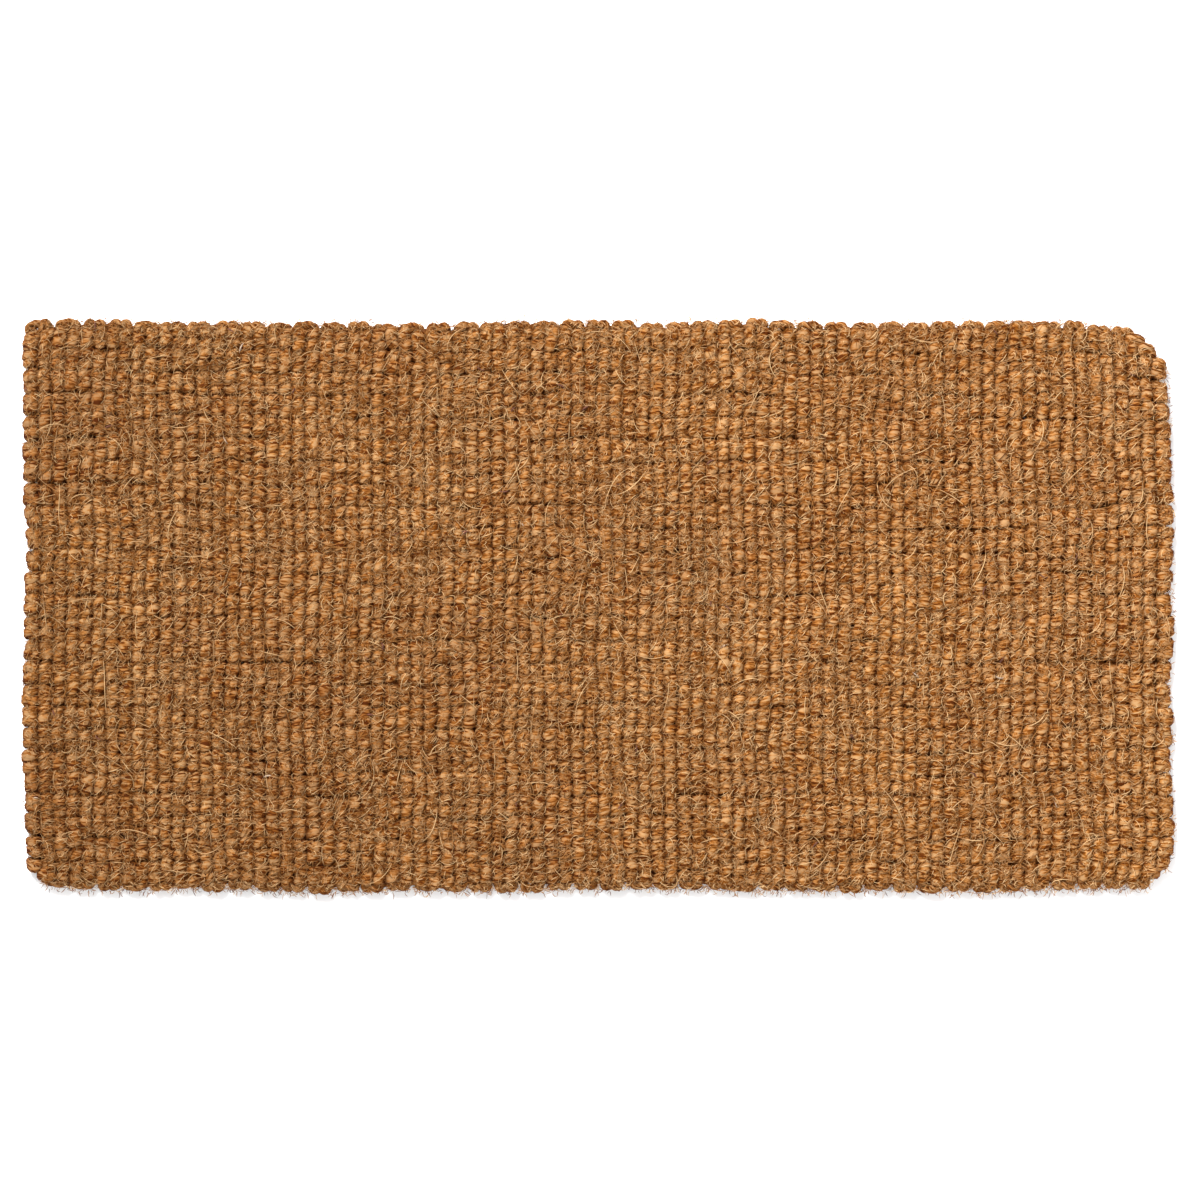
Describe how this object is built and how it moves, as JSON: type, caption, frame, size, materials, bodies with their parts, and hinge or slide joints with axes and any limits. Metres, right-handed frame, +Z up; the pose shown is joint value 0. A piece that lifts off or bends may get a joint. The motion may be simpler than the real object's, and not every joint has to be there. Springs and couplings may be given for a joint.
{
  "type": "door mat",
  "caption": "Flat rectangular woven coir door mat with ribs running across its width, looped selvedges and slightly rounded corners.",
  "frame": {"origin": "on the floor, under the middle of the mat", "axes": "+X along the mat's length, +Y across it to the rear long edge, +Z up"},
  "size_m": [0.8, 0.4, 0.0126],
  "materials": {
    "coir_strand": "rough twisted coir fibre",
    "coir_rib_cord": "rough two-ply coir cord",
    "coir_binder": "thin coir twine"
  },
  "bodies": {
    "root": {"strand_01": "coir_strand", "strand_02": "coir_strand", "strand_03": "coir_strand", "strand_04": "coir_strand", "strand_05": "coir_strand", "strand_06": "coir_strand", "strand_07": "coir_strand", "strand_08": "coir_strand", "strand_09": "coir_strand", "strand_10": "coir_strand", "strand_11": "coir_strand", "strand_12": "coir_strand", "strand_13": "coir_strand", "strand_14": "coir_strand", "strand_15": "coir_strand", "strand_16": "coir_strand", "strand_17": "coir_strand", "strand_18": "coir_strand", "strand_19": "coir_strand", "strand_20": "coir_strand", "strand_21": "coir_strand", "strand_22": "coir_strand", "strand_23": "coir_strand", "strand_24": "coir_strand", "strand_25": "coir_strand", "strand_26": "coir_strand", "strand_27": "coir_strand", "strand_28": "coir_strand", "strand_29": "coir_strand", "strand_30": "coir_strand", "strand_31": "coir_strand", "strand_32": "coir_strand", "strand_33": "coir_strand", "strand_34": "coir_strand", "strand_35": "coir_strand", "strand_36": "coir_strand", "strand_37": "coir_strand", "strand_38": "coir_strand", "strand_39": "coir_strand", "strand_40": "coir_strand", "strand_41": "coir_strand", "strand_42": "coir_strand", "strand_43": "coir_strand", "strand_44": "coir_strand", "strand_45": "coir_strand", "strand_46": "coir_strand", "strand_47": "coir_strand", "strand_48": "coir_strand", "strand_49": "coir_strand", "strand_50": "coir_strand", "rib_cords_left": "coir_rib_cord", "rib_cords_middle": "coir_rib_cord", "rib_cords_right": "coir_rib_cord", "front_selvedge_turns": "coir_rib_cord", "rear_selvedge_turns": "coir_rib_cord", "binder_cords_left": "coir_binder", "binder_cords_middle": "coir_binder", "binder_cords_right": "coir_binder"}
  },
  "joints": []
}
